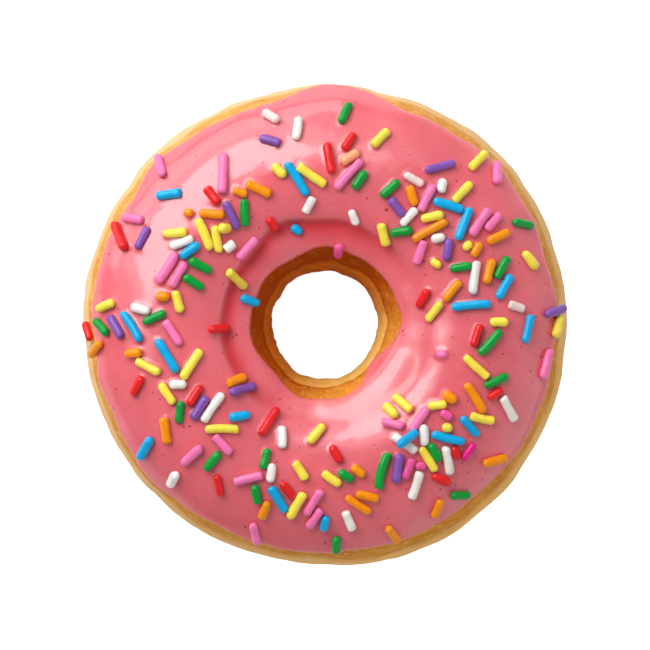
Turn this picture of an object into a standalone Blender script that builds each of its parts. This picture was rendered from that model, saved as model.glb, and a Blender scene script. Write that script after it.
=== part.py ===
"""A frosted ring doughnut: a fried yeast ring, and the coat of icing that its top was dipped in.

Metres, +Z up. The origin is on the surface that the doughnut lies on, below the middle of the hole.
A turn is an angle round the hole, from +X towards +Y. A section is the cut across the ring at one turn.
"""

import math

import bpy
from mathutils import Vector

# The ring of dough
OUTER_RADIUS = 0.0459
HOLE_RADIUS = 0.01005
WAIST_HEIGHT = 0.0145
CROWN_RISE = 0.0160
UNDERSIDE_DROP = 0.0156
CROWN_FULLNESS = 0.94
BELT_SWELL = 0.0004
BELT_HALF_HEIGHT = 0.0048

# The coat of icing
ICING_THICKNESS = 0.0016
ICING_GAP = 0.0003
ICING_NOSE = 0.0016
OUTER_EDGE_INSET = 0.0027
INNER_EDGE_RADIUS = 0.0149
CREASE_RADIUS = 0.0195
CREASE_DEPTH = 0.00055
CREASE_WIDTH = 0.0013
LIP_RADIUS = 0.0165
LIP_RISE = 0.0007
LIP_WIDTH = 0.0019

# How finely the two pieces are made
SECTIONS = 90
DOUGH_STATIONS = 24
ICING_TOP_STATIONS = 21
ICING_BACK_STATIONS = 9
END_CROWDING = 0.86

# Unevenness round the ring. A swell is its turn, its width, and how far it moves an edge outwards.
# A wave is its count round the ring, its size and its phase. Turns and widths are in degrees.
OUTLINE_SWELLS = (
    (42, 16, 0.00045),
    (107, 12, -0.00060),
    (137, 9, 0.00035),
    (163, 10, 0.00030),
    (248, 24, -0.00040),
    (298, 20, 0.00055),
)
OUTLINE_WAVES = ((17, 0.00009, 0.4), (26, 0.00007, 2.1))
HOLE_SWELLS = ((55, 18, 0.00020), (120, 30, 0.00030), (325, 24, -0.00045))
HOLE_WAVES = ((9, 0.00008, 1.0), (14, 0.00005, 0.2))
OUTER_EDGE_SWELLS = (
    (8, 9, 0.00035),
    (88, 10, 0.00165),
    (136, 8, 0.00050),
    (180, 9, 0.00045),
    (222, 10, 0.00060),
    (298, 28, -0.00095),
)
OUTER_EDGE_WAVES = ((11, 0.00012, 0.9), (19, 0.00008, 0.3))
INNER_EDGE_SWELLS = ((90, 14, 0.00070), (222, 14, -0.00100), (322, 25, -0.00300))
INNER_EDGE_WAVES = ((7, 0.00012, 2.2), (13, 0.00008, 0.7))
CROWN_WAVES = ((2, 0.00030, 0.8), (3, 0.00020, 2.9), (5, 0.00015, 1.7))
COAT_WAVES = ((3, 0.00012, 0.5), (8, 0.00008, 2.4))
CREASE_DEEPEST_AT = 150
CREASE_FADES_WITHIN = 105
CREASE_LEAST = 0.45

DOUGH_COLOUR = (0.62, 0.30, 0.08, 1.0)
ICING_COLOUR = (0.80, 0.16, 0.22, 1.0)


def swells(turn, bumps):
    """The sum of soft bumps, each a bell shape round the ring."""
    total = 0.0
    for middle, width, height in bumps:
        away = (math.degrees(turn) - middle + 180) % 360 - 180
        total += height * math.exp(-((away / width) ** 2))
    return total


def waves(turn, ripples):
    """The sum of even ripples round the ring."""
    return sum(size * math.sin(count * turn + phase) for count, size, phase in ripples)


def outer_radius(turn):
    return OUTER_RADIUS + swells(turn, OUTLINE_SWELLS) + waves(turn, OUTLINE_WAVES)


def hole_radius(turn):
    return HOLE_RADIUS + swells(turn, HOLE_SWELLS) + waves(turn, HOLE_WAVES)


def dough_point(turn, angle):
    """A point of the dough's skin, as radius and height. The angle runs from the outside over the crown."""
    outer, hole = outer_radius(turn), hole_radius(turn)
    rise = math.sin(angle)
    if rise > 0:
        height = (CROWN_RISE + waves(turn, CROWN_WAVES)) * rise**CROWN_FULLNESS
    else:
        height = UNDERSIDE_DROP * rise
    belt = math.exp(-((height / BELT_HALF_HEIGHT) ** 2))
    half_width = (outer - hole) / 2 - BELT_SWELL * (1 - belt)
    radius = (outer + hole) / 2 + half_width * math.cos(angle)
    return Vector((radius, max(WAIST_HEIGHT + height, 0.0)))


def skin_normal(turn, angle):
    """Which way the dough's skin faces, within the section."""
    step = 0.02
    along = dough_point(turn, angle + step) - dough_point(turn, angle - step)
    return Vector((along.y, -along.x)).normalized()


def angle_at(turn, radius):
    """The angle at which the upper half of the section reaches this radius."""
    outer, hole = outer_radius(turn), hole_radius(turn)
    share = (radius - (outer + hole) / 2) / ((outer - hole) / 2)
    return math.acos(max(-0.995, min(0.995, share)))


def icing_edges(turn):
    """The angles at which the icing ends, outside and inside the hole."""
    inset = OUTER_EDGE_INSET - swells(turn, OUTER_EDGE_SWELLS) - waves(turn, OUTER_EDGE_WAVES)
    inner = INNER_EDGE_RADIUS + swells(turn, INNER_EDGE_SWELLS) + waves(turn, INNER_EDGE_WAVES)
    return angle_at(turn, outer_radius(turn) - inset), angle_at(turn, inner)


def coat_thickness(turn, radius):
    """How thick the icing is: even on the crown, thin in the crease, and thick in the lip by the hole."""
    away = (math.degrees(turn) - CREASE_DEEPEST_AT + 180) % 360 - 180
    depth = CREASE_LEAST + (1 - CREASE_LEAST) * math.exp(-((away / CREASE_FADES_WITHIN) ** 4))
    crease = CREASE_DEPTH * math.exp(-(((radius - CREASE_RADIUS) / CREASE_WIDTH) ** 2))
    lip = LIP_RISE * math.exp(-(((radius - LIP_RADIUS) / LIP_WIDTH) ** 2))
    return ICING_THICKNESS + waves(turn, COAT_WAVES) + depth * (lip - crease)


def icing_point(turn, station):
    """A point of the icing's section: over the top to the hole, then back along the dough."""
    outside, inside = icing_edges(turn)
    last = ICING_TOP_STATIONS - 1
    if station <= last:
        even = station / last
        share = even - END_CROWDING * math.sin(2 * math.pi * even) / (2 * math.pi)
    else:
        share = 1 - (station - last) / (ICING_BACK_STATIONS + 1)
    angle = outside + (inside - outside) * share
    skin, normal = dough_point(turn, angle), skin_normal(turn, angle)
    if station > last:
        return skin + normal * ICING_GAP
    edge_angle = outside if share < 0.5 else inside
    from_edge = (skin - dough_point(turn, edge_angle)).length
    nose = math.sqrt(1 - max(0.0, 1 - from_edge / ICING_NOSE) ** 2)
    return skin + normal * (ICING_GAP + nose * coat_thickness(turn, skin.x))


def ring(name, stations, point, material, collection):
    """A closed ring made from a torus, with each of its corners moved to where the section has it."""
    bpy.ops.mesh.primitive_torus_add(major_segments=SECTIONS, minor_segments=stations)
    made = bpy.context.object
    made.name = made.data.name = name
    for corner in made.data.vertices:
        section, station = divmod(corner.index, stations)
        turn = 2 * math.pi * section / SECTIONS
        radius, height = point(turn, station)
        corner.co = (radius * math.cos(turn), radius * math.sin(turn), height)
    made.data.shade_smooth()
    made.data.materials.append(material)
    for other in made.users_collection:
        other.objects.unlink(made)
    collection.objects.link(made)
    return made


def plain_material(name, colour, roughness):
    material = bpy.data.materials.new(name)
    material.use_nodes = True
    shader = material.node_tree.nodes["Principled BSDF"]
    shader.inputs["Base Color"].default_value = colour
    shader.inputs["Roughness"].default_value = roughness
    shader.inputs["Metallic"].default_value = 0.0
    return material


def make_dough(collection):
    """The fried ring: domed above its waist, rounded below it, and flat where it lies."""

    def point(turn, station):
        return dough_point(turn, 2 * math.pi * station / DOUGH_STATIONS)

    crust = plain_material("crust", DOUGH_COLOUR, 0.6)
    return ring("dough", DOUGH_STATIONS, point, crust, collection)


def make_icing(collection):
    """The icing: one coat over the top of the ring, with a rounded front at both of its edges."""
    frosting = plain_material("frosting", ICING_COLOUR, 0.25)
    stations = ICING_TOP_STATIONS + ICING_BACK_STATIONS
    return ring("icing", stations, icing_point, frosting, collection)


def main():
    for old in list(bpy.data.objects):
        bpy.data.objects.remove(old)
    doughnut = bpy.data.collections.new("doughnut")
    bpy.context.scene.collection.children.link(doughnut)
    make_dough(doughnut)
    make_icing(doughnut)


main()
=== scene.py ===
"""The looks of a sprinkle frosted doughnut: fried dough, pink icing and sugar sticks."""

import math

import bpy
import numpy as np
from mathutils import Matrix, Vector
from mathutils.bvhtree import BVHTree


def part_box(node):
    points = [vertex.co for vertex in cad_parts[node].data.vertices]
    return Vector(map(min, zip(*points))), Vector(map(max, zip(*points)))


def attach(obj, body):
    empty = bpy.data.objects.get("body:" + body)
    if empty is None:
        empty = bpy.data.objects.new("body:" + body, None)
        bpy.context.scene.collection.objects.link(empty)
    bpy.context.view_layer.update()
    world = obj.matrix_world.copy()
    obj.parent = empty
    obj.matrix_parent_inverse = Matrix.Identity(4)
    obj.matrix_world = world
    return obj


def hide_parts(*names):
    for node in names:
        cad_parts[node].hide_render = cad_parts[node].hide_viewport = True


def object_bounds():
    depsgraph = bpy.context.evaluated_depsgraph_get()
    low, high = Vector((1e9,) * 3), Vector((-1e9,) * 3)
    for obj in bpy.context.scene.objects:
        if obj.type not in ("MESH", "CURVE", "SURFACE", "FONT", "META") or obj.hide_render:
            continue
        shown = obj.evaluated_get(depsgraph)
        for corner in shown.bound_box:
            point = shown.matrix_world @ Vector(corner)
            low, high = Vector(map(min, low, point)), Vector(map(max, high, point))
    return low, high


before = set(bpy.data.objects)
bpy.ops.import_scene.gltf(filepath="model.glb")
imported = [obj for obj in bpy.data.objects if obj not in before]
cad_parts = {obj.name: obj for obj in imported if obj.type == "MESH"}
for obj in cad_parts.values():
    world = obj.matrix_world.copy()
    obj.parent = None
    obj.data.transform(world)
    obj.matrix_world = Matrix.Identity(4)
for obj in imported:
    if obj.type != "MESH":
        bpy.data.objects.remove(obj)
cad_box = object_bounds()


# ------------------------------------------------------------
# The camera hangs straight above the middle of the doughnut, far enough up that the sides
# hardly lean outwards. Its view, at the height of the waist, is a third wider than the ring.
CAMERA_LENS = 350.0
CAMERA_SENSOR = 36.0
ROOM_ACROSS = 1.343

lowest, highest = cad_box
middle = (lowest + highest) / 2
ring_across = max(highest.x - lowest.x, highest.y - lowest.y)
waist_height = 0.5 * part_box("dough")[1].z

camera_away = ROOM_ACROSS * ring_across * CAMERA_LENS / CAMERA_SENSOR

camera = bpy.data.objects.new("camera", bpy.data.cameras.new("camera"))
camera.data.lens = CAMERA_LENS
camera.data.sensor_width = CAMERA_SENSOR
camera.location = (middle.x, middle.y, waist_height + camera_away)
bpy.context.scene.collection.objects.link(camera)
bpy.context.scene.camera = camera


# ------------------------------------------------------------
# A plain white table top that the doughnut lies on. Three softboxes at the upper left fade from a
# bright middle to a dim rim, and a low one lights the side of the ring. The pale room around them
# is dim overhead, and brighter near the table on one side, as from a window there.
TABLE_ACROSS = 4.0
TABLE_WHITE = (0.84, 0.84, 0.84, 1.0)
TABLE_GLOW = 1.12
SOFTBOX_AWAY = 0.80

# Each softbox: its turn and its climb in degrees, its width, its height and its brightness.
SOFTBOXES = {
    "softbox_middle": (131, 50, 0.60, 0.46, 3.6),
    "softbox_front": (130, 47, 0.90, 0.74, 1.2),
    "softbox_rim": (124, 44, 1.55, 1.00, 0.52),
    "softbox_low": (125, 13, 1.30, 0.26, 1.9),
}

ROOM_OVERHEAD = 0.30
ROOM_LOW = 0.53
WINDOW_TURN = math.radians(325)
WINDOW_NARROWNESS = 3.2
WINDOW_SIDE = 2.5
FAR_SIDE = 0.40
BACKDROP_BRIGHTNESS = 1.0


def set_inputs(node, values):
    """Sets a node's inputs, by name or by number, or links them where a value is an output."""
    for label, value in values.items():
        socket = node.inputs[label]
        if isinstance(value, bpy.types.NodeSocket):
            node.id_data.links.new(value, socket)
        else:
            socket.default_value = value


def add_node(tree, kind, settings=None, **values):
    """Adds a node to a tree, with its settings, and its inputs by name with _ for a space."""
    node = tree.nodes.new(kind)
    for name, setting in (settings or {}).items():
        setattr(node, name, setting)
    set_inputs(node, {label.replace("_", " "): value for label, value in values.items()})
    return node


def calculate(tree, operation, first, second=0.0):
    node = add_node(tree, "ShaderNodeMath", {"operation": operation})
    set_inputs(node, {0: first, 1: second})
    return node.outputs["Value"]


def map_range(tree, value, **ends):
    """A value carried from one range to another. Each is 0 to 1 where its ends aren't given."""
    return add_node(tree, "ShaderNodeMapRange", Value=value, **ends).outputs["Result"]


def new_material(name):
    """A material with its Principled shader, and the tree to build it in."""
    material = bpy.data.materials.new(name)
    material.use_nodes = True
    return material, material.node_tree, material.node_tree.nodes["Principled BSDF"]


table_paint, tree, shader = new_material("table paint")
grain = add_node(tree, "ShaderNodeTexNoise", Scale=60.0, Detail=3.0)
to_camera = add_node(tree, "ShaderNodeLightPath").outputs["Is Camera Ray"]
set_inputs(
    shader,
    {
        "Base Color": TABLE_WHITE,
        "Emission Color": TABLE_WHITE,
        "Emission Strength": map_range(tree, to_camera, To_Max=TABLE_GLOW),
        "Roughness": map_range(tree, grain.outputs["Fac"], To_Min=0.7, To_Max=0.85),
        "Specular IOR Level": 0.2,
    },
)
bpy.ops.mesh.primitive_plane_add(size=TABLE_ACROSS)
table = bpy.context.object
table.name = "table_top"
table.data.materials.append(table_paint)

for name, (turn, climb, wide, tall, brightness) in SOFTBOXES.items():
    lamp = bpy.data.lights.new(name, "AREA")
    lamp.shape = "RECTANGLE"
    lamp.size = wide
    lamp.size_y = tall
    lamp.energy = math.pi * wide * tall * brightness
    turn, climb = math.radians(turn), math.radians(climb)
    towards = Vector(
        (math.cos(turn) * math.cos(climb), math.sin(turn) * math.cos(climb), math.sin(climb))
    )
    light = bpy.data.objects.new(name, lamp)
    light.location = middle + towards * SOFTBOX_AWAY
    light.rotation_euler = towards.to_track_quat("Z", "Y").to_euler()
    light.visible_camera = False
    bpy.context.scene.collection.objects.link(light)

room = bpy.data.worlds.new("white room")
room.use_nodes = True
bpy.context.scene.world = room
tree = room.node_tree
looking = add_node(tree, "ShaderNodeTexCoord").outputs["Generated"]
height_seen = add_node(tree, "ShaderNodeSeparateXYZ", Vector=looking).outputs["Z"]
towards_window = add_node(tree, "ShaderNodeVectorMath", {"operation": "DOT_PRODUCT"})
set_inputs(towards_window, {0: looking, 1: (math.cos(WINDOW_TURN), math.sin(WINDOW_TURN), 0.0)})
half_way = map_range(tree, towards_window.outputs["Value"], From_Min=-1.0)
window_share = calculate(tree, "POWER", half_way, WINDOW_NARROWNESS)
sideways = map_range(
    tree, window_share, To_Min=ROOM_LOW * FAR_SIDE, To_Max=ROOM_LOW * WINDOW_SIDE
)
brightness = map_range(tree, height_seen, To_Min=sideways, To_Max=ROOM_OVERHEAD)
to_camera = add_node(tree, "ShaderNodeLightPath").outputs["Is Camera Ray"]
seen = map_range(tree, to_camera, To_Min=brightness, To_Max=BACKDROP_BRIGHTNESS)
set_inputs(tree.nodes["Background"], {"Color": (1.0, 1.0, 1.0, 1.0), "Strength": seen})
bpy.context.scene.view_settings.view_transform = "Standard"


# ------------------------------------------------------------
# The dough is a ring of raised yeast dough, proved, then fried on one side and turned over.
# Both halves brown to a thin leathery crust; the waist, which floated above the fat, stays pale.
DOUGH_TURNS = 480
DOUGH_STATIONS = 184
CROWN_FULLNESS = 0.94
UNDERSIDE_DEPTH = 1.076
BELT_SWELL = 0.0004
BELT_HALF_HEIGHT = 0.0048
BELT_EDGE = 0.0051

# Swells round the ring: the middle turn and the reach in degrees, and the height.
OUTLINE_EASE = (
    (33, 12, 0.00030),
    (75, 20, -0.00022),
    (128, 14, -0.00030),
    (150, 9, -0.00025),
    (196, 28, -0.00030),
    (262, 12, -0.00030),
    (327, 12, 0.00020),
)
HOLE_EASE = (
    (105, 22, 0.00015),
    (238, 26, 0.00035),
    (260, 14, 0.00015),
    (303, 10, 0.00020),
    (20, 60, 0.00028),
)

# Unevenness: the size of its lumps, how far it strays or stands proud, and its seed.
BELT_EDGE_WANDER = ((0.021, 0.0005, 11), (0.005, 0.00015, 12))
BELT_WANDER_IN_HOLE = 0.3
BELT_LIFT_IN_HOLE = 0.0006
BELT_DROP = ((128, 60, 0.0009),)
BELT_EDGE_SOFTNESS = 0.000125
BELT_GROOVE = 0.00026
BELT_GROOVE_WIDTH = 0.00045
BELT_RIDGE_AT = 0.0004
BELT_RIDGE_WIDTH = 0.0004
STATION_CROWDING = 0.25
RING_MIDDLE = ring_across / 3
BROAD_SWELLS = ((0.0180, 0.00012, 3),)
CRUST_SWELLS = ((0.0075, 0.00008, 5), (0.0030, 0.000030, 7))
BLISTER_LENGTHENING = 2.6
BLISTERS = ((0.0024, 0.000065, 8), (0.0013, 0.000040, 9))

# Crust and waist colours. The crust and the waist each have a lit-side and a shade-side copy, painted
# light and shade: away from the softboxes, and in the hole, the crust is redder and the waist brighter
# and warmer.
CRUST_LIT_SIDE = (0.72, 0.39, 0.100, 1.0)
CRUST_GOLD = (0.80, 0.34, 0.040, 1.0)
CRUST_BROWN_AND_SHADE = (0.50, 0.085, 0.001, 1.0)
# Pale spots on the crust; in the hole they are partly painted glints.
CRUST_PALE_GLINT = (0.95, 0.585, 0.110, 1.0)
WAIST_LIT_SIDE = (0.72, 0.50, 0.28, 1.0)
WAIST_SHADE_SIDE = (0.97, 0.56, 0.185, 1.0)
SHADE_SIDE_TURN = 296
SHADE_SIDE_REACH = 100
WAIST_IN_HOLE = (0.88, 0.56, 0.150, 1.0)
# Painted shade in the hole: darker on the side turned away from the softboxes, and along the belt's
# edge.
WAIST_HOLE_SHADE = (0.73, 0.185, 0.006, 1.0)
HOLE_SHADE_TURN = 132
HOLE_SHADE_REACH = 122
HOLE_SHADE_EVENNESS = 8
HOLE_SHADE_LEAST = 0.04
HOLE_SHADE_AT_BELT_EDGE = 0.7

# How much of the brown each cause gives, painted shade in the hole among them, and how much of the pale
# spots stays.
BROWN_BY_MOTTLING = 0.22
BROWN_BY_STREAKS = 0.40
SHADE_IN_HOLE = 0.85
SPOTS_OUTSIDE = 0.72
SPOTS_MORE_IN_HOLE = 0.20
SPOTS_LOST_IN_HOLE_SHADE = 0.90
STREAKS_ON_WAIST = 0.40
PORE_DEPTH = 0.6
OILY_SHARE = 0.6


def corners_of(node):
    """A CAD node's corners: whole degrees round the hole, distance from its middle, and height."""
    points = np.array([corner.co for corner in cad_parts[node].data.vertices])
    degrees = np.round(np.degrees(np.arctan2(points[:, 1], points[:, 0]))).astype(int) % 360
    return degrees, np.hypot(points[:, 0], points[:, 1]), points[:, 2]


def round_the_ring(values):
    """A smooth closed curve through one value for each of the frame's sections, by Fourier sums."""
    parts = np.fft.rfft(values)
    counts = np.arange(len(parts))

    def curve(turn):
        turn = np.asarray(turn, float)
        waves = np.exp(1j * turn[..., None] * counts)
        doubled = np.where(counts == 0, 1.0, 2.0)
        return (waves * parts * doubled).real.sum(-1) / len(values)

    return curve


def each_section(degrees, values, pick):
    """One value for each section of the frame: the greatest or the least of its corners' values."""
    return np.array([pick(values[degrees == section]) for section in np.unique(degrees)])


def lumps(points, size, seed, ripples=28):
    """Soft random unevenness of one size, mostly between -1 and 1: faint ripples that run every way."""
    chance = np.random.default_rng(seed)
    runs = chance.normal(size=(ripples, points.shape[-1]))
    runs *= 2 * math.pi / size / np.linalg.norm(runs, axis=1, keepdims=True)
    phases = chance.uniform(0, 2 * math.pi, ripples)
    return np.sin(points @ runs.T + phases).sum(-1) / math.sqrt(ripples)


def bell(away, width, evenness=2):
    """A soft bump, 1 at its middle. The greater its even power, the flatter its top."""
    return np.exp(-((away / width) ** evenness))


def degrees_from(turn, middle_turn):
    return (np.degrees(turn) - middle_turn + 180) % 360 - 180


def in_space(turn, radius, height):
    return np.stack([radius * np.cos(turn), radius * np.sin(turn), height], axis=-1)


dough_degrees, dough_radii, dough_heights = corners_of("dough")
even_outline = round_the_ring(each_section(dough_degrees, dough_radii, np.max))
even_hole = round_the_ring(each_section(dough_degrees, dough_radii, np.min))
crown_height = round_the_ring(each_section(dough_degrees, dough_heights, np.max))
waist = float(dough_heights[np.argmax(dough_radii)])


def swells_at(turn, swells):
    """The sum of soft bumps round the ring, each with its middle turn, its reach and its height."""
    return sum(height * bell(degrees_from(turn, middle), reach) for middle, reach, height in swells)


def outline(turn):
    return even_outline(turn) + swells_at(turn, OUTLINE_EASE)


def hole_outline(turn):
    return even_hole(turn) + swells_at(turn, HOLE_EASE)


def ring_halves(turn):
    """The radius half way between the hole and the outside, and half the distance between them."""
    outer, hole = outline(turn), hole_outline(turn)
    return (outer + hole) / 2, (outer - hole) / 2


def dough_section(turn, angle):
    """The even dough: radius and height at a turn round the hole and an angle round the section."""
    half_way, half_width = ring_halves(turn)
    lift = np.sin(angle)
    above = (crown_height(turn) - waist) * np.abs(lift) ** CROWN_FULLNESS
    below = -UNDERSIDE_DEPTH * waist * np.abs(lift)
    height = np.where(lift > 0, above, below)
    half_width = half_width - BELT_SWELL * (1 - bell(height, BELT_HALF_HEIGHT))
    return half_way + half_width * np.cos(angle), waist + height


def section_normal(turn, angle):
    """Which way the even dough faces within its section, as radius and height."""
    step = 0.01
    radius_before, height_before = dough_section(turn, angle - step)
    radius_after, height_after = dough_section(turn, angle + step)
    along_radius, along_height = radius_after - radius_before, height_after - height_before
    length = np.hypot(along_radius, along_height)
    return along_height / length, -along_radius / length


def raised(turn, angle, proud):
    """Points of the dough's skin moved out by a distance, which may differ from point to point."""
    radius, height = dough_section(turn, angle)
    out_radius, out_height = section_normal(turn, angle)
    return in_space(turn, radius + proud * out_radius, height + proud * out_height)


def along_the_ring(points, lengthening):
    """Places in which a pattern comes out drawn out along the ring, without a seam."""
    across = np.hypot(points[..., 0], points[..., 1])
    around = points[..., :2] / across[..., None] * RING_MIDDLE / lengthening
    return np.concatenate([around, points[..., 2:], across[..., None]], axis=-1)


def dough_unevenness(turn, angle, even_share=0.0):
    """How far the real crust stands proud of the even dough. Icing evens out its smaller swells."""
    even = raised(turn, angle, 0.0)
    drawn_out = along_the_ring(even, BLISTER_LENGTHENING)
    broad = sum(depth * lumps(even, size, seed) for size, depth, seed in BROAD_SWELLS)
    small = sum(depth * lumps(even, size, seed) for size, depth, seed in CRUST_SWELLS)
    small = small + sum(depth * lumps(drawn_out, size, seed) for size, depth, seed in BLISTERS)
    return broad + (1 - even_share) * small


def round_wander(turn, radius, wanders):
    """How far something that runs round the ring strays from its even course."""
    circle = in_space(turn, radius, 0 * turn)
    return sum(reach * lumps(circle, size, seed) for size, reach, seed in wanders)


def new_piece(name, points, faces, shares):
    """A smooth piece from its corners and its faces, with values that it carries at its corners."""
    mesh = bpy.data.meshes.new(name)
    mesh.from_pydata(points, [], faces)
    for label, values in shares.items():
        values = np.asarray(values, np.float32).reshape(-1)
        mesh.attributes.new(label, "FLOAT", "POINT").data.foreach_set("value", values)
    mesh.shade_smooth()
    piece = bpy.data.objects.new(name, mesh)
    bpy.context.scene.collection.objects.link(piece)
    return piece


def ring_piece(name, points, shares):
    """One closed skin from points laid out as turns by stations, with values at each point."""
    turns, stations = points.shape[:2]
    numbers = np.arange(turns * stations).reshape(turns, stations)
    ahead = np.roll(numbers, -1, axis=0)
    quads = np.stack([numbers, ahead, np.roll(ahead, -1, axis=1), np.roll(numbers, -1, axis=1)], -1)
    return new_piece(name, points.reshape(-1, 3).tolist(), quads.reshape(-1, 4).tolist(), shares)


turn = np.linspace(0, 2 * math.pi, DOUGH_TURNS, endpoint=False)[:, None]
angle = np.linspace(0, 2 * math.pi, DOUGH_STATIONS, endpoint=False)[None, :]
angle = angle - STATION_CROWDING * np.sin(2 * angle)
radius, height = dough_section(turn, angle)
half_way, half_width = ring_halves(turn)
belt_wander = round_wander(turn, outline(turn), BELT_EDGE_WANDER)
belt_drop = swells_at(turn, BELT_DROP)
belt_edge = BELT_EDGE + np.where(
    radius > half_way, belt_wander - belt_drop, BELT_LIFT_IN_HOLE + BELT_WANDER_IN_HOLE * belt_wander
)
past_belt = np.abs(height - waist) - belt_edge
fried = 1 / (1 + np.exp(-past_belt / BELT_EDGE_SOFTNESS))
groove = BELT_GROOVE * bell(past_belt, BELT_GROOVE_WIDTH) * (height > waist)
proud = dough_unevenness(turn, angle) - groove
dough_points = raised(turn, angle, proud)
dough_points[..., 2] = np.maximum(dough_points[..., 2], 0.0)
in_hole = np.clip(half_way - radius, 0, None) / half_width
# Painted light and shade: a share that is 1 on the side turned away from the softboxes and in the hole,
# where the shade-side colours are used.
painted_shade_side = bell(degrees_from(turn, SHADE_SIDE_TURN), SHADE_SIDE_REACH) + 0 * angle
painted_shade_side = np.maximum(painted_shade_side, np.sqrt(in_hole))
# Painted shade: the hole's wall is darker brown on the side turned away from the softboxes, and in a
# line along the belt's edge.
shaded_side = bell(degrees_from(turn, HOLE_SHADE_TURN), HOLE_SHADE_REACH, HOLE_SHADE_EVENNESS)
painted_hole_shade = HOLE_SHADE_LEAST + (1 - HOLE_SHADE_LEAST) * shaded_side
painted_hole_shade = painted_hole_shade + HOLE_SHADE_AT_BELT_EDGE * bell(past_belt - BELT_RIDGE_AT, BELT_RIDGE_WIDTH)
painted_hole_shade = painted_hole_shade * in_hole
shares = {"fried": fried, "in_hole": in_hole, "painted_shade_side": painted_shade_side, "painted_hole_shade": painted_hole_shade}
crust = ring_piece("crust", dough_points, shares)


def new_effect(name, inputs, outputs):
    """An empty shader node group, with its input and output nodes."""
    effect = bpy.data.node_groups.new(name, "ShaderNodeTree")
    for label in inputs:
        kind = "NodeSocketVector" if label == "Place" else "NodeSocketFloat"
        effect.interface.new_socket(label, in_out="INPUT", socket_type=kind)
    for label in outputs:
        effect.interface.new_socket(label, in_out="OUTPUT", socket_type="NodeSocketFloat")
    return effect, effect.nodes.new("NodeGroupInput"), effect.nodes.new("NodeGroupOutput")


def use_effect(tree, effect, **values):
    return add_node(tree, "ShaderNodeGroup", {"node_tree": effect}, **values)


def attribute(tree, name):
    """The share that a mesh carries at each of its corners under a name."""
    return add_node(tree, "ShaderNodeAttribute", {"attribute_name": name}).outputs["Fac"]


def product(tree, *values):
    """Values multiplied with each other."""
    result = values[0]
    for value in values[1:]:
        result = calculate(tree, "MULTIPLY", result, value)
    return result


def add_up(tree, start, *parts):
    """A number, and to it each part's value times the part's weight."""
    total = start
    for value, weight in parts:
        total = calculate(tree, "ADD", product(tree, value, weight), total)
    return total


def blend_colours(tree, share, first, second):
    """One colour turning into another by a share from 0 to 1."""
    node = add_node(tree, "ShaderNodeMix", {"data_type": "RGBA", "clamp_factor": True})
    set_inputs(node, {0: share, 6: first, 7: second})
    return node.outputs[2]


# Drawn-out grain: small blisters and streaks that run along the ring, as a height from 0 to 1.
long_grain, given, made = new_effect(
    "drawn-out grain", ("Place", "Grain Size", "Lengthening"), ("Height",)
)
parts = add_node(long_grain, "ShaderNodeSeparateXYZ", Vector=given.outputs["Place"])
level = add_node(long_grain, "ShaderNodeCombineXYZ", X=parts.outputs["X"], Y=parts.outputs["Y"])
across = add_node(
    long_grain, "ShaderNodeVectorMath", {"operation": "LENGTH"}, Vector=level.outputs["Vector"]
)
lengthened = product(long_grain, across.outputs["Value"], given.outputs["Lengthening"])
around = calculate(long_grain, "DIVIDE", RING_MIDDLE, lengthened)
place = add_node(
    long_grain,
    "ShaderNodeCombineXYZ",
    X=product(long_grain, parts.outputs["X"], around),
    Y=product(long_grain, parts.outputs["Y"], around),
    Z=parts.outputs["Z"],
)
scale = calculate(long_grain, "DIVIDE", 1.0, given.outputs["Grain Size"])
streaks = add_node(
    long_grain,
    "ShaderNodeTexNoise",
    {"noise_dimensions": "4D"},
    Vector=place.outputs["Vector"],
    W=across.outputs["Value"],
    Scale=scale,
    Detail=4.0,
    Roughness=0.6,
)
long_grain.links.new(streaks.outputs["Fac"], made.inputs["Height"])

# Fine grain: the smallest unevenness of a baked or sugary skin, as a height and as a mottling.
fine_grain, given, made = new_effect(
    "fine grain", ("Place", "Grain Size", "Patch Size"), ("Height", "Mottling")
)
close = add_node(
    fine_grain,
    "ShaderNodeTexNoise",
    Vector=given.outputs["Place"],
    Scale=calculate(fine_grain, "DIVIDE", 1.0, given.outputs["Grain Size"]),
    Detail=4.0,
    Roughness=0.6,
)
wide = add_node(
    fine_grain,
    "ShaderNodeTexNoise",
    Vector=given.outputs["Place"],
    Scale=calculate(fine_grain, "DIVIDE", 1.0, given.outputs["Patch Size"]),
    Detail=3.0,
    Roughness=0.55,
)
fine_grain.links.new(close.outputs["Fac"], made.inputs["Height"])
spread = map_range(fine_grain, wide.outputs["Fac"], From_Min=0.32, From_Max=0.68)
fine_grain.links.new(spread, made.inputs["Mottling"])

crust_finish, tree, shader = new_material("fried crust")
place = add_node(tree, "ShaderNodeTexCoord").outputs["Object"]
fried_share = attribute(tree, "fried")
hole_share = attribute(tree, "in_hole")
hole_shade_share = attribute(tree, "painted_hole_shade")
painted_shade_side_share = attribute(tree, "painted_shade_side")
skin_grain = use_effect(tree, fine_grain, Place=place, Grain_Size=0.0006, Patch_Size=0.0035)
streaks = use_effect(tree, long_grain, Place=place, Grain_Size=0.0015, Lengthening=2.2)
pores = use_effect(tree, long_grain, Place=place, Grain_Size=0.0005, Lengthening=1.6)
streaked = map_range(tree, streaks.outputs["Height"], From_Min=0.36, From_Max=0.66)
# Pale pores of the crust, in the hole partly painted glints.
pale_spots_and_glints = map_range(tree, pores.outputs["Height"], From_Min=0.50, From_Max=0.72)

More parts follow.
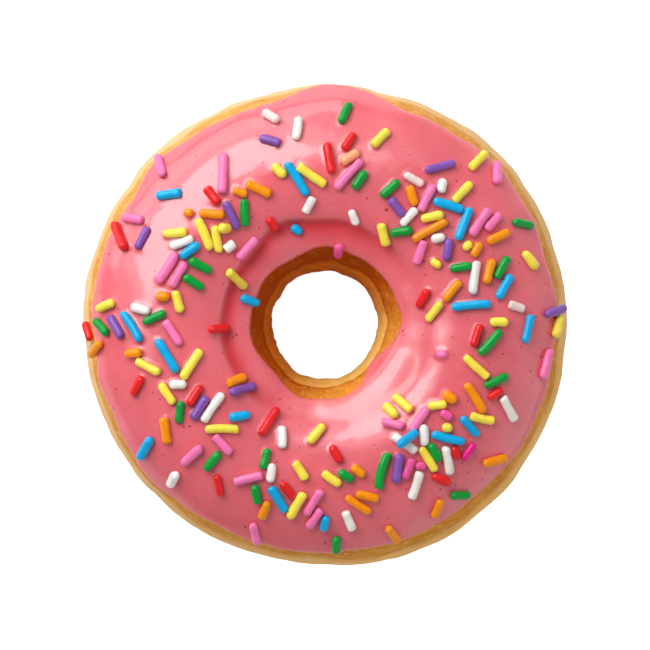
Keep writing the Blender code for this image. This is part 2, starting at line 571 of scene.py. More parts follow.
# Brown from the crust's mottling and streaks, and painted shade in the hole.
browning_and_shade = add_up(
    tree,
    0.0,
    (skin_grain.outputs["Mottling"], BROWN_BY_MOTTLING),
    (streaked, BROWN_BY_STREAKS),
    (hole_shade_share, SHADE_IN_HOLE),
)
spots_left = add_up(
    tree, SPOTS_OUTSIDE, (hole_share, SPOTS_MORE_IN_HOLE), (hole_shade_share, -SPOTS_LOST_IN_HOLE_SHADE)
)
# Lit-side and shade-side copies of the crust and the waist colours: painted light and shade.
crust_colour = blend_colours(tree, painted_shade_side_share, CRUST_LIT_SIDE, CRUST_GOLD)
crust_colour = blend_colours(tree, browning_and_shade, crust_colour, CRUST_BROWN_AND_SHADE)
crust_colour = blend_colours(tree, product(tree, pale_spots_and_glints, spots_left), crust_colour, CRUST_PALE_GLINT)
waist_colour = blend_colours(tree, painted_shade_side_share, WAIST_LIT_SIDE, WAIST_SHADE_SIDE)
waist_colour = blend_colours(tree, hole_share, waist_colour, WAIST_IN_HOLE)
waist_colour = blend_colours(tree, hole_shade_share, waist_colour, WAIST_HOLE_SHADE)
waist_streaks = product(tree, streaked, STREAKS_ON_WAIST)
waist_colour = blend_colours(tree, waist_streaks, waist_colour, CRUST_GOLD)
skin_colour = blend_colours(tree, fried_share, waist_colour, crust_colour)
skin_height = add_up(tree, streaks.outputs["Height"], (pores.outputs["Height"], PORE_DEPTH))
skin_bump = add_node(tree, "ShaderNodeBump", Height=skin_height, Strength=0.8, Distance=0.0004)
unshaded_in_hole = add_up(tree, 1.0, (hole_shade_share, -1.0))
oily = product(tree, pale_spots_and_glints, hole_share, OILY_SHARE, unshaded_in_hole)
set_inputs(
    shader,
    {
        "Base Color": skin_colour,
        "Roughness": 0.5,
        "Specular IOR Level": 0.08,
        "Normal": skin_bump.outputs["Normal"],
        "Coat Weight": oily,
        "Coat Roughness": 0.2,
        "Subsurface Weight": 0.12,
        "Subsurface Radius": (1.0, 0.45, 0.15),
        "Subsurface Scale": 0.0012,
    },
)
crust.data.materials.append(crust_finish)
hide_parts("dough")
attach(crust, "root")


# ------------------------------------------------------------
# The icing is melted fondant, coloured pink. The ring's top is dipped into it and turned back up.
# It flows to a soft round edge outside, and into a thick lip round the hole with a crease behind
# it. It shows the crust through its thin edges; where the lip slumped, this paler edge is partly a
# painted highlight.
# Its crease, and two patches by its outer edge, are painted darker: painted shade.
ICING_TURNS = 560
ICING_TOP_STATIONS = 150
ICING_BACK_STATIONS = 24
ICING_NOSE = 0.0015
ICING_TUCK = 0.00012
THIN_EDGE = 0.0010
# At the slumped lip the pale thin-edge tint reaches further in, partly a painted highlight.
SLUMP_PAINTED_HIGHLIGHT = 0.0016
EDGE_CROWDING = 0.80
FURTHEST_CREEP = 0.99
CREASE_RADIUS = 0.0190
CREASE_DEPTH = 0.00110
CREASE_CROWN_WIDTH = 0.0011
CREASE_LIP_WIDTH = 0.0021
# Painted shade along the crease: its widths on the crown side and the lip side, and where it spreads;
# then painted shade in patches near the outer edge.
CREASE_SHADE_CROWN_WIDTH = 0.0008
CREASE_SHADE_LIP_WIDTH = 0.0013
CREASE_SHADE_SPREAD = ((86, 28, 0.0012),)
OUTER_SHADE_SWELLS = ((252, 26, 0.34), (358, 9, 0.24))
OUTER_SHADE_RADIUS = 0.0408
OUTER_SHADE_WIDTH = 0.0034
CREASE_SWELLS = ((115, 14, 0.0012), (85, 16, 0.0005), (240, 12, -0.0005), (330, 26, 0.0009))
CREASE_WANDER = ((0.012, 0.0002, 26),)
CREASE_EVENNESS = 6
LIP_RADIUS = 0.0158
LIP_RISE = 0.00070
LIP_WIDTH = 0.0023
SLUMP_TURN = 306
SLUMP_REACH = 39
SLUMP_RADIUS = 0.0148
SLUMP_RISE = 0.00120
SLUMP_WIDTH = 0.0030
SLUMP_NOSE = 0.0014
SLUMP_EVENNESS = 6
CREASE_DEEPEST_AT = 140
CREASE_FADES_WITHIN = 93
CREASE_LEAST = 0.15
SECOND_CREASE = ((328, 20, 0.20),)
ICING_SWELLS = ((0.0190, 0.00010, 21), (0.0080, 0.000018, 22), (0.0024, 0.000006, 23))
OUTER_EDGE_CREEP = -0.00003
INNER_EDGE_CREEP = 0.00040
INNER_EDGE_SWELLS = (
    (7, 10, -0.00030),
    (89, 9, 0.00045),
    (110, 14, 0.00030),
    (128, 9, -0.00028),
    (152, 12, 0.00036),
    (170, 12, 0.00025),
    (184, 8, -0.00030),
    (215, 26, 0.00045),
    (217, 9, -0.00038),
    (272, 12, 0.00022),
    (323, 10, -0.00032),
)
OUTER_EDGE_SWELLS = (
    (12, 7, -0.00030),
    (49, 6, 0.00040),
    (66, 7, -0.00060),
    (79, 6, 0.00040),
    (120, 8, 0.00030),
    (234, 7, -0.00040),
)
ICING_EDGE_WANDER = ((0.0090, 0.00010, 24), (0.0035, 0.00004, 25))

ICING_PINK = (0.785, 0.140, 0.176, 1.0)
ICING_DEEP = (0.745, 0.118, 0.150, 1.0)
# Tints over the pink: painted shade in the crease and near the outer edge, painted contact shade beside
# each stick, and the crust showing through thin edges.
ICING_TINTS = (
    ("painted_shade", 0.90, (0.62, 0.030, 0.043, 1.0)),
    ("beside", 0.55, (0.50, 0.030, 0.045, 1.0)),
    ("thin", 0.85, (0.88, 0.31, 0.26, 1.0)),
)
# The coat is duller where the painted shade is.
SHADE_DULLS_COAT = 0.8
ICING_DULLNESS = 0.38
THIN_DULLNESS = 0.35
SPECK_MAROON = (0.38, 0.024, 0.036, 1.0)
SPECK_RED = (0.48, 0.014, 0.022, 1.0)
SPECK_RAGGED = 0.00022
SPECK_SOFTNESS = 0.00006
LEAST_SPECK = 0.35

icing_degrees, icing_radii, icing_heights = corners_of("icing")
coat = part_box("icing")[1].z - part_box("dough")[1].z


def edge_angle(side):
    """The angle round the section at which the icing ends on one side of the ring."""
    half_way = ring_halves(np.radians(icing_degrees))[0]
    here = (icing_radii - half_way) * side > 0
    angles = []
    for section in np.unique(icing_degrees):
        own = here & (icing_degrees == section)
        lowest_corner = np.argmin(np.where(own, icing_heights, np.inf))
        turn = np.radians(section)
        across = (icing_radii - half_way)[lowest_corner] / ring_halves(turn)[1]
        up = (icing_heights[lowest_corner] - waist) / (crown_height(turn) - waist)
        angles.append(math.atan2(up ** (1 / CROWN_FULLNESS), across))
    return round_the_ring(np.array(angles))


outer_angle, inner_angle = edge_angle(1), edge_angle(-1)


def crease_course(turn, radius):
    """How deep the crease is at a turn, as a share, and how far behind its bottom a point lies."""
    share = bell(degrees_from(turn, CREASE_DEEPEST_AT), CREASE_FADES_WITHIN, CREASE_EVENNESS)
    depth = CREASE_LEAST + (1 - CREASE_LEAST) * share + swells_at(turn, SECOND_CREASE)
    wander = round_wander(turn, CREASE_RADIUS, CREASE_WANDER) + swells_at(turn, CREASE_SWELLS)
    return depth, radius - CREASE_RADIUS - wander


def slump_share(turn):
    """How far the icing has slumped towards the hole at a turn, as a share."""
    return bell(degrees_from(turn, SLUMP_TURN), SLUMP_REACH, SLUMP_EVENNESS)


def coat_thickness(turn, radius, even):
    """How thick the icing is: even on the crown, thin in the crease, thick in the lip by the hole."""
    depth, behind = crease_course(turn, radius)
    slump = slump_share(turn)
    crease = CREASE_DEPTH * bell(behind, np.where(behind > 0, CREASE_CROWN_WIDTH, CREASE_LIP_WIDTH))
    lip = LIP_RISE * bell(radius - LIP_RADIUS, LIP_WIDTH)
    slumped_lip = SLUMP_RISE * bell(radius - SLUMP_RADIUS, SLUMP_WIDTH)
    swells = sum(rise * lumps(even, size, seed) for size, rise, seed in ICING_SWELLS)
    return coat + (1 - slump) * lip - depth * crease + slump * slumped_lip + swells


def crept(turn, angle, creep):
    """The angle of an edge of the icing that crept further down the dough, away from its crown."""
    across = np.cos(angle) + np.sign(np.cos(angle)) * creep / ring_halves(turn)[1]
    return np.arccos(np.clip(across, -FURTHEST_CREEP, FURTHEST_CREEP))


turn = np.linspace(0, 2 * math.pi, ICING_TURNS, endpoint=False)[:, None]
outer_creep = OUTER_EDGE_CREEP + round_wander(turn, outline(turn), ICING_EDGE_WANDER)
outer_creep = outer_creep + swells_at(turn, OUTER_EDGE_SWELLS)
inner_creep = INNER_EDGE_CREEP + round_wander(turn, hole_outline(turn), ICING_EDGE_WANDER)
inner_creep = inner_creep + swells_at(turn, INNER_EDGE_SWELLS)
outside = crept(turn, outer_angle(turn), outer_creep)
inside = crept(turn, inner_angle(turn), inner_creep)
even_steps = np.linspace(0, 1, ICING_TOP_STATIONS)[None, :]
top_steps = even_steps - EDGE_CROWDING * np.sin(2 * math.pi * even_steps) / (2 * math.pi)
back_steps = np.linspace(1, 0, ICING_BACK_STATIONS + 2)[None, 1:-1]
angle = outside + (inside - outside) * top_steps
radius, height = dough_section(turn, angle)
nearer_edge = np.where(top_steps < 0.5, outside, inside)
edge_radius, edge_height = dough_section(turn, nearer_edge)
from_edge = np.hypot(radius - edge_radius, height - edge_height)
slumped = slump_share(turn) * (top_steps > 0.5)
nose_length = ICING_NOSE + SLUMP_NOSE * slumped
nose = np.sqrt(1 - np.clip(1 - from_edge / nose_length, 0, 1) ** 2)
even_points = raised(turn, angle, 0.0)
proud = nose * (coat_thickness(turn, radius, even_points) + ICING_TUCK) - ICING_TUCK
top_points = raised(turn, angle, dough_unevenness(turn, angle, nose) + proud)
back_angle = outside + (inside - outside) * back_steps
back_points = raised(turn, back_angle, dough_unevenness(turn, back_angle) - ICING_TUCK)
icing_points = np.concatenate([top_points, back_points], axis=1)
# The pale thin edge, wider at the slumped lip, where it is partly a painted highlight.
thin = bell(from_edge, THIN_EDGE + SLUMP_PAINTED_HIGHLIGHT * slumped)
thin = np.concatenate([thin, 1.0 + 0.0 * back_angle], axis=1)
# Painted shade: darker icing along the crease, and in two patches near the outer edge.
depth, behind = crease_course(turn, radius)
crease_shade_lip_width = CREASE_SHADE_LIP_WIDTH + swells_at(turn, CREASE_SHADE_SPREAD)
crease_shade_width = np.where(behind > 0, CREASE_SHADE_CROWN_WIDTH, crease_shade_lip_width)
outer_shade = swells_at(turn, OUTER_SHADE_SWELLS) * bell(radius - OUTER_SHADE_RADIUS, OUTER_SHADE_WIDTH)
painted_shade = depth * bell(behind, crease_shade_width) + outer_shade
painted_shade = np.concatenate([painted_shade, 0.0 * back_angle], axis=1)
icing = ring_piece("icing_coat", icing_points, {"thin": thin, "painted_shade": painted_shade})

# Specks: crumbs of crust and fruit sugar that float in the icing, far apart and each its own size.
specks, given, made = new_effect("specks", ("Place", "Apart", "Size", "Share"), ("Mask",))
ragged = add_node(
    specks, "ShaderNodeTexNoise", Vector=given.outputs["Place"], Scale=3500.0, Detail=1.0
)
ragged_place = add_node(specks, "ShaderNodeVectorMath", {"operation": "MULTIPLY_ADD"})
set_inputs(
    ragged_place, {0: ragged.outputs["Color"], 1: [SPECK_RAGGED] * 3, 2: given.outputs["Place"]}
)
cells = add_node(
    specks,
    "ShaderNodeTexVoronoi",
    Vector=ragged_place.outputs["Vector"],
    Scale=calculate(specks, "DIVIDE", 1.0, given.outputs["Apart"]),
)
away = product(specks, cells.outputs["Distance"], given.outputs["Apart"])
picked = add_node(specks, "ShaderNodeSeparateColor", Color=cells.outputs["Color"])
there = calculate(specks, "LESS_THAN", picked.outputs["Red"], given.outputs["Share"])
own_share = calculate(specks, "ADD", picked.outputs["Green"], LEAST_SPECK)
own_size = product(specks, given.outputs["Size"], own_share)
inside_speck = calculate(specks, "SUBTRACT", own_size, away)
soft = add_node(
    specks, "ShaderNodeClamp", Value=calculate(specks, "DIVIDE", inside_speck, SPECK_SOFTNESS)
)
specks.links.new(product(specks, soft.outputs["Result"], there), made.inputs["Mask"])

icing_finish, tree, shader = new_material("pink icing")
place = add_node(tree, "ShaderNodeTexCoord").outputs["Object"]
sugar = use_effect(tree, fine_grain, Place=place, Grain_Size=0.0005, Patch_Size=0.006)
dark_specks = use_effect(tree, specks, Place=place, Apart=0.0017, Size=0.00019, Share=0.9)
red_specks = use_effect(tree, specks, Place=place, Apart=0.0045, Size=0.00031, Share=0.8)
icing_colour = blend_colours(tree, sugar.outputs["Mottling"], ICING_PINK, ICING_DEEP)
for layer, most, tint in ICING_TINTS:
    tint_share = product(tree, attribute(tree, layer), most)
    icing_colour = blend_colours(tree, tint_share, icing_colour, tint)
speckled = blend_colours(tree, red_specks.outputs["Mask"], icing_colour, SPECK_RED)
speckled = blend_colours(tree, dark_specks.outputs["Mask"], speckled, SPECK_MAROON)
thin_share = attribute(tree, "thin")
thick_share = add_up(tree, 1.0, (thin_share, -1.0))
unshaded = add_up(tree, 1.0, (attribute(tree, "painted_shade"), -SHADE_DULLS_COAT))
icing_bump = add_node(
    tree, "ShaderNodeBump", Height=sugar.outputs["Height"], Strength=0.30, Distance=0.0002
)
set_inputs(
    shader,
    {
        "Base Color": speckled,
        "Roughness": add_up(tree, ICING_DULLNESS, (thin_share, THIN_DULLNESS)),
        "Specular IOR Level": 0.12,
        "Normal": icing_bump.outputs["Normal"],
        "Coat Weight": product(tree, thick_share, unshaded),
        "Coat Roughness": 0.13,
        "Coat IOR": 1.70,
        "Subsurface Weight": 0.25,
        "Subsurface Radius": (1.0, 0.30, 0.30),
        "Subsurface Scale": 0.0012,
    },
)
icing.data.materials.append(icing_finish)
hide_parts("icing")
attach(icing, "root")


# ------------------------------------------------------------
# The sprinkles are sugar paste pressed through a die, broken into sticks and waxed. They fall on
# the icing while it is wet, so each lies as it fell, sunk a little way in, and some lie on others.
MILLIMETRE = 0.001
STICK_THICKNESS = 1.74 * MILLIMETRE
STICK_THINNEST = 0.92
STICK_THICKEST = 1.06
STICK_SINK = 0.22 * MILLIMETRE
STEEPEST = 0.45
STEEPEST_LEAN = 1.1
STICK_SIDES = 18
STICK_RINGS = 19
STICK_RING_CROWDING = 1.5
STICK_BEND = 18.0
BENT_STICK = 60.0
CLEANEST_CUT = 0.7
CLEAN_CUT_RARITY = 4
ROUND_END = 2.0
CUT_FLATTENS = 1.8
CUT_SHORTENS = 0.35
NECK_DEPTH = 0.03
NECKS_APART = 2.4
FLATTEST_STICK = 0.95
STICK_LUMPS = 0.018
STICK_LUMP_SIZE = 1.6 * MILLIMETRE
FAT_STICK = 1.18
SUNK_STICK = 1.05 * MILLIMETRE
SIDE_TOUCH = 0.8
SHORTEST_REACH = 0.1 * MILLIMETRE
PUSH_ROUNDS = 16
PUSH_LEAST = 0.02 * MILLIMETRE
MENISCUS_RISE = 0.16 * MILLIMETRE
MENISCUS_REACH = 0.38 * MILLIMETRE
# How far the painted contact shade reaches from each stick.
CONTACT_SHADE_REACH = 0.34 * MILLIMETRE
MENISCUS_SEARCH = 3 * MILLIMETRE

# Where each stick fell: its turn round the ring, how far out it is as a share of the ring's
# radius, its lie against +X in degrees, its length in millimetres, and what sets it apart.
STICKS = {
    "blue": (
        (44, 0.71, 162, 6.2), (36, 0.71, 68, 6.7), (12, 0.76, 60, 5.3), (7.5, 0.61, 5, 7.5),
        (359, 0.84, 77, 5.5), (306, 0.58, 37, 4.7, "over"), (317.5, 0.69, 166, 6.5),
        (325, 0.73, 132, 4.9), (270, 0.82, 78, 3.2), (255, 0.745, 122, 5.6), (227, 0.515, 10, 4.1),
        (180.5, 0.80, 122, 6.7), (191, 0.665, 122, 7.4), (214.5, 0.90, 60, 5.0),
        (140, 0.84, 7, 5.0), (151, 0.64, 37, 4.4), (162, 0.325, 160, 3.9), (101, 0.615, 122, 7.4),
        (106.5, 0.41, 150, 2.5),
    ),
    "green": (
        (27, 0.92, 168, 4.3), (18, 0.77, 62, 4.7), (23, 0.61, 10, 4.2), (354, 0.685, 48, 6.2),
        (342, 0.745, 25, 5.1, "over"), (311, 0.695, 120, 4.0), (292, 0.65, 75, 7.1, "bent"),
        (308.5, 0.90, 0, 4.0), (273, 0.91, 88, 3.5), (248, 0.755, 102, 3.9), (246, 0.605, 75, 4.1),
        (278, 0.63, 145, 3.4), (211, 0.70, 83, 4.3), (230.5, 0.73, 50, 4.6),
        (180.5, 0.925, 132, 4.2), (177.5, 0.705, 25, 4.7), (125.5, 0.57, 92, 5.1),
        (154.5, 0.57, 152, 4.9), (162, 0.57, 148, 4.5), (84.5, 0.88, 65, 4.5),
        (76.5, 0.615, 55, 4.2), (64.5, 0.625, 42, 4.5), (51, 0.50, 8, 4.3),
    ),
    "yellow": (
        (47, 0.93, 45, 4.9), (44, 0.79, 47, 5.0), (17.5, 0.89, 128, 4.2), (45, 0.63, 12, 4.5),
        (29, 0.675, 45, 2.1), (29, 0.525, 145, 2.3), (7, 0.455, 52, 4.6), (1, 0.72, 0, 3.5),
        (344.5, 0.65, 138, 6.1), (359.5, 0.96, 75, 4.4), (324.5, 0.57, 8, 3.6), (320, 0.66, 0, 2.1),
        (315, 0.455, 140, 4.6), (307.5, 0.445, 135, 3.7), (329.5, 0.755, 168, 4.7, "bent"),
        (307.5, 0.70, 122, 5.4), (261, 0.755, 60, 5.8), (265.5, 0.45, 50, 4.7),
        (260.5, 0.61, 122, 4.1), (272.5, 0.635, 145, 4.2), (225.5, 0.605, 0, 6.4),
        (175, 0.91, 22, 3.9), (193, 0.75, 152, 5.4), (171, 0.615, 105, 4.4),
        (196.5, 0.575, 57, 6.6), (203.5, 0.71, 125, 4.8), (143, 0.625, 113, 6.5),
        (141.5, 0.57, 100, 5.2), (136, 0.575, 0, 2.6, "fat over"), (148.5, 0.725, 5, 4.7),
        (152.5, 0.41, 137, 4.9), (73.5, 0.805, 45, 4.5), (95, 0.62, 145, 6.3),
        (106.5, 0.665, 137, 3.4), (57, 0.445, 105, 4.5),
    ),
    "orange": (
        (27, 0.805, 25, 4.8), (56, 0.645, 107, 4.1), (42, 0.585, 29, 7.6), (26.5, 0.70, 60, 3.2),
        (18, 0.715, 75, 5.1), (15, 0.545, 52, 4.9), (334, 0.69, 123, 6.6),
        (329.5, 0.595, 145, 3.1, "fat"), (321.5, 0.90, 15, 5.0), (301.5, 0.89, 68, 4.0),
        (284, 0.73, 165, 4.5), (280.5, 0.755, 147, 5.7), (288, 0.91, 128, 3.8),
        (252, 0.805, 68, 3.9), (283, 0.62, 140, 3.1), (212, 0.43, 22, 4.0), (186, 0.95, 52, 4.0),
        (188.5, 0.80, 5, 3.4), (170, 0.68, 0, 2.7, "fat"), (213.5, 0.79, 98, 5.1),
        (140.5, 0.73, 0, 1.9), (135.5, 0.655, 175, 4.9), (122.5, 0.65, 155, 2.9),
        (116, 0.625, 155, 5.2), (81.5, 0.70, 32, 3.9, "peach"),
    ),
    "red": (
        (15, 0.42, 60, 4.0), (356, 0.63, 72, 4.5), (338, 0.76, 30, 3.3), (315.5, 0.755, 110, 2.8),
        (307, 0.80, 155, 4.0), (257.5, 0.70, 128, 4.0), (240, 0.46, 57, 6.3),
        (275, 0.535, 122, 3.8), (208.5, 0.61, 58, 4.6), (236.5, 0.795, 102, 4.2),
        (181.5, 0.98, 108, 3.8), (198, 0.815, 62, 4.2), (182, 0.435, 5, 4.3),
        (156.5, 0.925, 112, 6.0), (131, 0.71, 128, 3.9), (82.5, 0.765, 55, 4.0),
        (88.5, 0.69, 100, 6.0), (117.5, 0.47, 125, 3.1),
    ),
    "pink": (
        (41.5, 0.95, 88, 4.5), (51, 0.675, 62, 5.8), (33.5, 0.77, 55, 6.4), (31.5, 0.815, 48, 4.2),
        (37.5, 0.495, 70, 4.7), (350, 0.93, 75, 5.9), (346, 0.50, 0, 2.3, "sunk"),
        (323.5, 0.625, 150, 2.7, "rose"), (315.5, 0.555, 55, 5.6), (304.5, 0.495, 168, 4.5),
        (318.5, 0.79, 55, 3.9, "magenta"), (304.5, 0.70, 0, 2.2, "rose"),
        (300.5, 0.69, 68, 4.3, "rose"),
        (267, 0.80, 55, 4.6), (266.5, 0.735, 57, 5.8), (251.5, 0.91, 102, 4.6),
        (229.5, 0.65, 133, 4.8), (224.5, 0.77, 42, 5.2), (243.5, 0.71, 14, 5.8),
        (183, 0.63, 123, 5.6), (136, 0.945, 105, 4.7), (151, 0.905, 172, 4.1),
        (124, 0.755, 87, 7.7), (160, 0.695, 57, 6.7), (161, 0.64, 60, 5.6), (135.5, 0.45, 48, 5.4),
        (81, 0.63, 48, 7.4), (79.5, 0.31, 80, 3.0, "rose"),
    ),
    "purple": (
        (54, 0.81, 15, 6.0), (31.5, 0.595, 80, 4.3), (3.5, 0.955, 17, 4.6), (297, 0.665, 82, 5.7),
        (213.5, 0.62, 58, 5.3), (218, 0.43, 15, 5.3), (180.5, 0.865, 120, 4.9),
        (154.5, 0.835, 62, 4.8), (130.5, 0.595, 115, 5.8), (106.5, 0.795, 163, 4.1),
        (58.5, 0.57, 128, 4.3),
    ),
    "white": (
        (50, 0.75, 80, 2.9), (52, 0.565, 48, 4.4), (37.5, 0.59, 12, 2.8), (17.5, 0.65, 82, 6.4),
        (304, 0.59, 145, 5.6), (312, 0.615, 92, 4.1), (335.5, 0.835, 118, 5.3),
        (312, 0.755, 100, 5.6), (299.5, 0.76, 72, 5.7), (277, 0.815, 112, 4.0),
        (250, 0.65, 83, 3.7), (249, 0.495, 92, 4.3), (202, 0.655, 0, 3.4), (216.5, 0.575, 55, 6.7),
        (225.5, 0.895, 62, 3.5), (175, 0.765, 165, 4.0), (140.5, 0.51, 40, 2.3, "square"),
        (150, 0.682, 20, 4.8), (98, 0.82, 82, 4.7), (97.5, 0.50, 62, 3.5), (75, 0.46, 112, 3.2),
        (58.5, 0.705, 150, 4.2, "filmed"), (5.5, 0.795, 160, 3.1, "filmed square"),
        (104.5, 0.89, 148, 3.8, "filmed"),
    ),
}
STICK_COLOURS = {
    "blue": (0.0002, 0.42, 0.82, 1.0),
    "green": (0.0005, 0.34, 0.040, 1.0),
    "yellow": (1.0, 0.80, 0.080, 1.0),
    "orange": (1.0, 0.305, 0.001, 1.0),
    "red": (0.84, 0.016, 0.018, 1.0),
    "pink": (1.0, 0.20, 0.47, 1.0),
    "purple": (0.25, 0.092, 0.44, 1.0),
    "white": (0.95, 0.88, 0.83, 1.0),
}
ODD_COLOURS = {"pink": (0.74, 0.010, 0.22, 1.0), "orange": (0.92, 0.36, 0.17, 1.0)}
ODD_SHARES = {"peach": 1.0, "magenta": 1.0, "rose": 0.5}
FILM_SHARE = 0.26
DARKER_TONE = 0.78
DARKER_BY_MOTTLING = 0.6
DARKER_BY_STICK = 0.4


chance = np.random.default_rng(5)
skins = [
    BVHTree.FromPolygons(
        [tuple(corner.co) for corner in skin.data.vertices],
        [tuple(face.vertices) for face in skin.data.polygons],
    )
    for skin in (icing, crust)
]


def skin_below(point):
    """The height of the skin under a point, icing or crust, and which way it faces."""
    start = Vector((point.x, point.y, 2 * highest.z))
    hits = [skin.ray_cast(start, Vector((0, 0, -1)))[:2] for skin in skins]
    on_table = (Vector((point.x, point.y, 0)), Vector((0, 0, 1)))
    hits = [hit for hit in hits if hit[0]]
    place, facing = max(hits, key=lambda hit: hit[0].z, default=on_table)
    return place.z, facing.normalized()


class Stick:
    """One sugar stick: where it fell on the plan, its lie, and its middle line in space."""

    def __init__(self, colour, turn, share, lie, length, apart=""):
        self.colour = colour
        self.apart = apart.split()
        self.thickness = STICK_THICKNESS * chance.uniform(STICK_THINNEST, STICK_THICKEST)
        if "fat" in self.apart:
            self.thickness *= FAT_STICK
        self.sink = SUNK_STICK if "sunk" in self.apart else STICK_SINK
        self.reach = (length * MILLIMETRE - self.thickness) / 2
        self.level = Vector((math.cos(math.radians(lie)), math.sin(math.radians(lie)), 0))
        out = Vector((math.cos(math.radians(turn)), math.sin(math.radians(turn)), 0))
        self.place = out * share * ring_across / 2
        self.place *= 1 - (skin_below(self.place)[0] - waist_height) / camera_away

    def resting_height(self, point, others):
        """How high the middle line lies over a point of the plan, on the skin or on other sticks."""
        ground, facing = skin_below(point)
        rest = ground + (self.thickness / 2 - self.sink) / max(facing.z, STEEPEST)
        sideways = Vector((-self.level.y, self.level.x, 0)) * self.thickness / 2
        for share in (-SIDE_TOUCH, SIDE_TOUCH):
            beside = skin_below(point + sideways * share)[0]
            rest = max(rest, beside + self.thickness / 2 * math.sqrt(1 - share**2) - self.sink)
        for other in others:
            touching = (self.thickness + other.thickness) / 2
            across = (point - other.place).to_2d()
            along = max(-other.reach, min(other.reach, across.dot(other.level.to_2d())))
            apart = (across - other.level.to_2d() * along).length
            if apart < touching:
                own = other.middle.z + along * other.slope + math.sqrt(touching**2 - apart**2)
                rest = max(rest, own)
        return rest

    def settle(self, others=()):
        """Drops the stick: it leans as the skin does, and sinks in nowhere too far."""
        steps = [self.reach * share for share in (-1.0, -0.6, 0.0, 0.6, 1.0)]
        rests = [self.resting_height(self.place + self.level * step, others) for step in steps]
        slope = (rests[3] - rests[1]) / (steps[3] - steps[1]) if self.reach > SHORTEST_REACH else 0.0
        self.slope = max(-STEEPEST_LEAN, min(STEEPEST_LEAN, slope))
        height = max(rest - step * self.slope for rest, step in zip(rests, steps))
        self.middle = Vector((self.place.x, self.place.y, height))
        self.along = Vector((self.level.x, self.level.y, self.slope))
        facing = skin_below(self.place)[1]
        lengthwise = self.along * facing.dot(self.along) / self.along.length_squared
        self.up = (facing - lengthwise).normalized()

    def ends(self):
        return self.middle - self.along * self.reach, self.middle + self.along * self.reach


def nearest_between(first, second):
    """The nearest points of two sticks' middle lines."""
    a, b = first.ends()
    c, d = second.ends()
    u, v, w = b - a, d - c, a - c
    uu, uv, vv, uw, vw = u.dot(u), u.dot(v), v.dot(v), u.dot(w), v.dot(w)
    spread = uu * vv - uv * uv
    s = 0.5 if spread < 1e-14 else min(1.0, max(0.0, (uv * vw - vv * uw) / spread))
    t = min(1.0, max(0.0, (uv * s + vw) / vv)) if vv else 0.0
    s = min(1.0, max(0.0, (uv * t - uw) / uu)) if uu else 0.0
    return a + u * s, c + v * t


sticks = [Stick(colour, *row) for colour, rows in STICKS.items() for row in rows]
fallen = [stick for stick in sticks if "over" not in stick.apart]
for stick in fallen:
    stick.settle()
for round_of_pushes in range(PUSH_ROUNDS):
    moved = set()
    for number, first in enumerate(fallen):
        for second in fallen[number + 1:]:
            touching = first.reach + second.reach + STICK_THICKNESS * 1.1
            if (first.middle - second.middle).length > touching:
                continue
            on_first, on_second = nearest_between(first, second)
            apart = on_second - on_first
            short = (first.thickness + second.thickness) / 2 - apart.length
            apart.z = 0
            if short > PUSH_LEAST:
                push = apart.normalized() * short * 0.5
                first.place -= push
                second.place += push
                moved |= {first, second}
    for stick in moved:
        stick.settle()
for stick in sticks:
    if "over" in stick.apart:
        stick.settle(fallen)


def stick_skin(stick):
    """The corners of a stick, ring by ring from end to end, then its two tips."""
    cut = 0.0
    if stick.reach > STICK_THICKNESS / 2:
        cut = CLEANEST_CUT * chance.uniform(0, 1) ** CLEAN_CUT_RARITY
    if "square" in stick.apart:
        cut = 1.0
    blunt = ROUND_END + CUT_FLATTENS * cut
    end = (1.0 - CUT_SHORTENS * cut) * stick.thickness / 2
    bend = STICK_BEND * chance.normal() + (BENT_STICK if "bent" in stick.apart else 0)
    bend = bend * stick.reach**2
    length = 2 * stick.reach * stick.along.length + stick.thickness
    steps = np.linspace(-1, 1, STICK_RINGS + 2)
    steps = np.sign(steps) * (1 - (1 - np.abs(steps)) ** STICK_RING_CROWDING)
    reach = steps * length / 2
    into_end = np.clip((np.abs(reach) - (length / 2 - end)) / end, 0, 1)
    width = stick.thickness / 2 * (1 - into_end**blunt) ** (1 / blunt)
    necks = np.sin(reach / stick.thickness * NECKS_APART + chance.uniform(0, 6))
    width = width * (1 + NECK_DEPTH * necks)
    around = np.linspace(0, 2 * math.pi, STICK_SIDES, endpoint=False)[None, :]
    curve = bend * (1 - (reach / (length / 2)) ** 2)
    own = np.stack(
        [
            reach[:, None] + 0 * around,
            width[:, None] * np.cos(around) + curve[:, None],
            width[:, None] * np.sin(around) * chance.uniform(FLATTEST_STICK, 1.0),
        ],
        axis=-1,
    )
    own += own * STICK_LUMPS * lumps(own + chance.uniform(0, 1, 3), STICK_LUMP_SIZE, 31)[..., None]
    along = stick.along.normalized()
    across = stick.up.cross(along)
    rings = own @ np.array([along, across, stick.up]) + np.array(stick.middle)
    return np.concatenate([rings[1:-1].reshape(-1, 3), rings[0, :1], rings[-1, :1]])


def stick_faces(first_corner):
    """The faces of one stick, whose corners start at a number: its sides, then its two round ends."""
    ring = np.arange(STICK_SIDES)
    last_ring = first_corner + (STICK_RINGS - 1) * STICK_SIDES
    tips = first_corner + STICK_RINGS * STICK_SIDES
    for a, b in zip(ring, np.roll(ring, -1)):
        for start in range(first_corner, last_ring, STICK_SIDES):
            yield (start + a, start + b, start + STICK_SIDES + b, start + STICK_SIDES + a)
        yield (first_corner + b, first_corner + a, tips)
        yield (last_ring + a, last_ring + b, tips + 1)


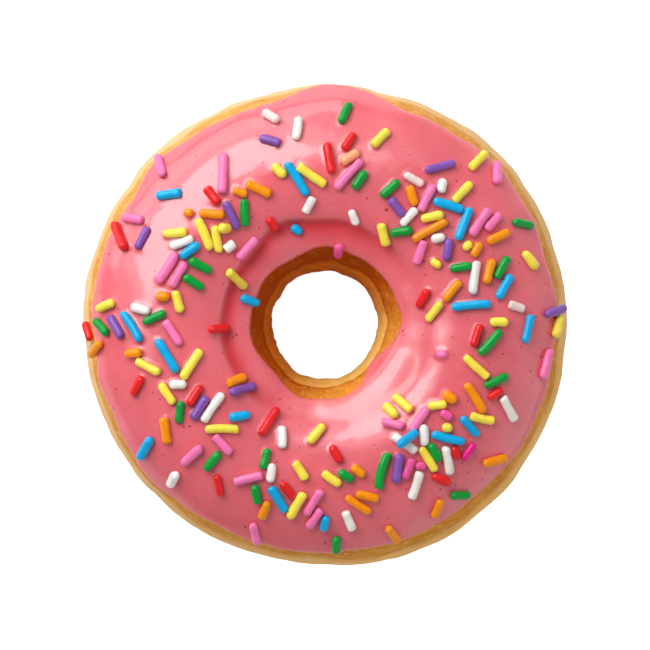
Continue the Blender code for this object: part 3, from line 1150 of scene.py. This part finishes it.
for colour, shade in STICK_COLOURS.items():
    wax, tree, shader = new_material(colour + " sugar")
    place = add_node(tree, "ShaderNodeTexCoord").outputs["Object"]
    sugar = use_effect(tree, fine_grain, Place=place, Grain_Size=0.0005, Patch_Size=0.0022)
    darker = tuple(part * DARKER_TONE for part in shade[:3]) + (1.0,)
    darkening = add_up(
        tree,
        0.0,
        (sugar.outputs["Mottling"], DARKER_BY_MOTTLING),
        (attribute(tree, "tone"), DARKER_BY_STICK),
    )
    own_colour = blend_colours(tree, darkening, shade, darker)
    odd_colour = ODD_COLOURS.get(colour, shade)
    own_colour = blend_colours(tree, attribute(tree, "odd"), own_colour, odd_colour)
    stick_bump = add_node(
        tree, "ShaderNodeBump", Height=sugar.outputs["Height"], Strength=0.18, Distance=0.0002
    )
    set_inputs(
        shader,
        {
            "Base Color": blend_colours(tree, attribute(tree, "film"), own_colour, ICING_PINK),
            "Roughness": 0.30,
            "Specular IOR Level": 0.08,
            "Normal": stick_bump.outputs["Normal"],
            "Coat Weight": 0.5,
            "Coat Roughness": 0.05,
            "Subsurface Weight": 0.05,
            "Subsurface Radius": (1.0, 0.8, 0.6),
            "Subsurface Scale": 0.0005,
        },
    )
    points, faces, shares = [], [], {"film": [], "odd": [], "tone": []}
    for stick in (stick for stick in sticks if stick.colour == colour):
        faces += stick_faces(len(points))
        skin = stick_skin(stick)
        points += skin.tolist()
        odd = max((ODD_SHARES.get(word, 0.0) for word in stick.apart), default=0.0)
        shares["film"] += [FILM_SHARE if "filmed" in stick.apart else 0.0] * len(skin)
        shares["odd"] += [odd] * len(skin)
        shares["tone"] += [chance.uniform(0, 1)] * len(skin)
    piece = new_piece("sprinkles_" + colour, points, faces, shares)
    piece.data.materials.append(wax)
    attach(piece, "root")

# The wet icing creeps a little way up the side of each stick, and is painted darker beside it: painted
# contact shade.
icing_corners = icing_points.reshape(-1, 3)
rise = np.zeros(len(icing_corners))
beside = np.zeros(len(icing_corners))
for stick in sticks:
    start, end = (np.array(point) for point in stick.ends())
    from_middle = np.linalg.norm(icing_corners - np.array(stick.middle), axis=1)
    near = from_middle < 2 * stick.reach + MENISCUS_SEARCH
    line = end - start
    share = np.clip((icing_corners[near] - start) @ line / max(line @ line, 1e-12), 0, 1)
    to_skin = np.linalg.norm(icing_corners[near] - start - share[:, None] * line, axis=1)
    gap = np.clip(to_skin - stick.thickness / 2, 0, None)
    rise[near] = np.maximum(rise[near], MENISCUS_RISE * bell(gap, MENISCUS_REACH))
    beside[near] = np.maximum(beside[near], bell(gap, CONTACT_SHADE_REACH))
facing = np.empty(len(icing_corners) * 3, np.float32)
icing.data.vertices.foreach_get("normal", facing)
is_top = np.zeros(icing_points.shape[:2], bool)
is_top[:, :ICING_TOP_STATIONS] = True
raised_corners = icing_corners + (rise * is_top.reshape(-1))[:, None] * facing.reshape(-1, 3)
icing.data.vertices.foreach_set("co", raised_corners.reshape(-1).astype(np.float32))
icing.data.attributes.new("beside", "FLOAT", "POINT").data.foreach_set("value", beside)
icing.data.update()
